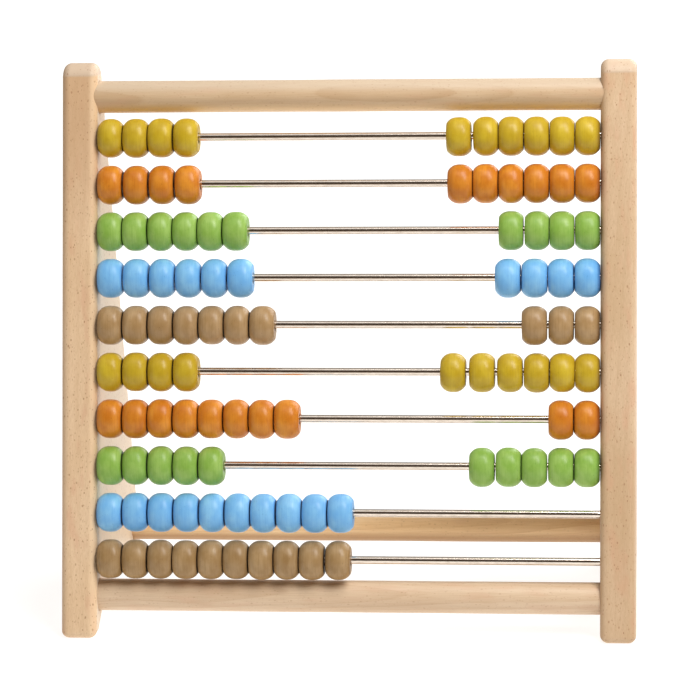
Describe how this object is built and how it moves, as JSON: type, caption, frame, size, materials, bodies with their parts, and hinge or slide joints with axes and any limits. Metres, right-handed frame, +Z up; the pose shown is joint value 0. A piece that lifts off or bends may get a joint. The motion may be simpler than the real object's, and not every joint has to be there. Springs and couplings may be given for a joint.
{
  "type": "abacus",
  "caption": "Free-standing counting abacus: two tapered side boards, three round rails and horizontal wires in a leaning plane, with coloured barrel beads that slide along them.",
  "frame": {"origin": "on the floor, at the middle of the four feet, which is the bottom centre of the abacus", "axes": "+X along the wires towards the user's right, -Y towards the user (the beads stand proud on that side), +Z up"},
  "size_m": [0.294, 0.1482, 0.2866],
  "materials": {
    "side_panel_beech": "pale beech board, sanded and clear-sealed, satin, fine dark flecks",
    "rail_beech": "pale beech dowel, sanded and clear-sealed, satin",
    "steel_wire": "polished round steel rod",
    "mustard_lacquer": "turned wooden bead, mustard-yellow translucent satin lacquer",
    "orange_lacquer": "turned wooden bead, orange translucent satin lacquer",
    "green_lacquer": "turned wooden bead, leaf-green translucent satin lacquer",
    "blue_lacquer": "turned wooden bead, light-blue satin lacquer",
    "brown_lacquer": "turned wooden bead, taupe-brown translucent satin lacquer"
  },
  "bodies": {
    "frame": {"left_side_panel": "side_panel_beech", "right_side_panel": "side_panel_beech", "top_rail": "rail_beech", "front_bottom_rail": "rail_beech", "rear_bottom_rail": "rail_beech", "row_01_wire": "steel_wire", "row_02_wire": "steel_wire", "row_03_wire": "steel_wire", "row_04_wire": "steel_wire", "row_05_wire": "steel_wire", "row_06_wire": "steel_wire", "row_07_wire": "steel_wire", "row_08_wire": "steel_wire", "row_09_wire": "steel_wire", "row_10_wire": "steel_wire"},
    "row_01_left_beads": {"row_01_left_beads": "mustard_lacquer"},
    "row_01_right_beads": {"row_01_right_beads": "mustard_lacquer"},
    "row_02_left_beads": {"row_02_left_beads": "orange_lacquer"},
    "row_02_right_beads": {"row_02_right_beads": "orange_lacquer"},
    "row_03_left_beads": {"row_03_left_beads": "green_lacquer"},
    "row_03_right_beads": {"row_03_right_beads": "green_lacquer"},
    "row_04_left_beads": {"row_04_left_beads": "blue_lacquer"},
    "row_04_right_beads": {"row_04_right_beads": "blue_lacquer"},
    "row_05_left_beads": {"row_05_left_beads": "brown_lacquer"},
    "row_05_right_beads": {"row_05_right_beads": "brown_lacquer"},
    "row_06_left_beads": {"row_06_left_beads": "mustard_lacquer"},
    "row_06_right_beads": {"row_06_right_beads": "mustard_lacquer"},
    "row_07_left_beads": {"row_07_left_beads": "orange_lacquer"},
    "row_07_right_beads": {"row_07_right_beads": "orange_lacquer"},
    "row_08_left_beads": {"row_08_left_beads": "green_lacquer"},
    "row_08_right_beads": {"row_08_right_beads": "green_lacquer"},
    "row_09_beads": {"row_09_beads": "blue_lacquer"},
    "row_09_end_bead": {"row_09_end_bead": "blue_lacquer"},
    "row_10_beads": {"row_10_beads": "brown_lacquer"},
    "row_10_end_bead": {"row_10_end_bead": "brown_lacquer"}
  },
  "joints": [
    {"name": "row_01_left_slide", "type": "slide", "parent": "frame", "child": "row_01_left_beads", "axis": [1, 0, 0], "range_m": [0, 0.1259]},
    {"name": "row_01_right_slide", "type": "slide", "parent": "frame", "child": "row_01_right_beads", "axis": [1, 0, 0], "range_m": [-0.1259, 0]},
    {"name": "row_02_left_slide", "type": "slide", "parent": "frame", "child": "row_02_left_beads", "axis": [1, 0, 0], "range_m": [0, 0.1255]},
    {"name": "row_02_right_slide", "type": "slide", "parent": "frame", "child": "row_02_right_beads", "axis": [1, 0, 0], "range_m": [-0.1255, 0]},
    {"name": "row_03_left_slide", "type": "slide", "parent": "frame", "child": "row_03_left_beads", "axis": [1, 0, 0], "range_m": [0, 0.12655]},
    {"name": "row_03_right_slide", "type": "slide", "parent": "frame", "child": "row_03_right_beads", "axis": [1, 0, 0], "range_m": [-0.12655, 0]},
    {"name": "row_04_left_slide", "type": "slide", "parent": "frame", "child": "row_04_left_beads", "axis": [1, 0, 0], "range_m": [0, 0.12325]},
    {"name": "row_04_right_slide", "type": "slide", "parent": "frame", "child": "row_04_right_beads", "axis": [1, 0, 0], "range_m": [-0.12325, 0]},
    {"name": "row_05_left_slide", "type": "slide", "parent": "frame", "child": "row_05_left_beads", "axis": [1, 0, 0], "range_m": [0, 0.1251]},
    {"name": "row_05_right_slide", "type": "slide", "parent": "frame", "child": "row_05_right_beads", "axis": [1, 0, 0], "range_m": [-0.1251, 0]},
    {"name": "row_06_left_slide", "type": "slide", "parent": "frame", "child": "row_06_left_beads", "axis": [1, 0, 0], "range_m": [0, 0.1234]},
    {"name": "row_06_right_slide", "type": "slide", "parent": "frame", "child": "row_06_right_beads", "axis": [1, 0, 0], "range_m": [-0.1234, 0]},
    {"name": "row_07_left_slide", "type": "slide", "parent": "frame", "child": "row_07_left_beads", "axis": [1, 0, 0], "range_m": [0, 0.12625]},
    {"name": "row_07_right_slide", "type": "slide", "parent": "frame", "child": "row_07_right_beads", "axis": [1, 0, 0], "range_m": [-0.12625, 0]},
    {"name": "row_08_left_slide", "type": "slide", "parent": "frame", "child": "row_08_left_beads", "axis": [1, 0, 0], "range_m": [0, 0.1248]},
    {"name": "row_08_right_slide", "type": "slide", "parent": "frame", "child": "row_08_right_beads", "axis": [1, 0, 0], "range_m": [-0.1248, 0]},
    {"name": "row_09_slide", "type": "slide", "parent": "frame", "child": "row_09_beads", "axis": [1, 0, 0], "range_m": [0, 0.1249]},
    {"name": "row_09_end_bead_slide", "type": "slide", "parent": "row_09_beads", "child": "row_09_end_bead", "axis": [-1, 0, 0], "range_m": [-0.1249, 0]},
    {"name": "row_10_slide", "type": "slide", "parent": "frame", "child": "row_10_beads", "axis": [1, 0, 0], "range_m": [0, 0.12564]},
    {"name": "row_10_end_bead_slide", "type": "slide", "parent": "row_10_beads", "child": "row_10_end_bead", "axis": [-1, 0, 0], "range_m": [-0.12564, 0]}
  ]
}
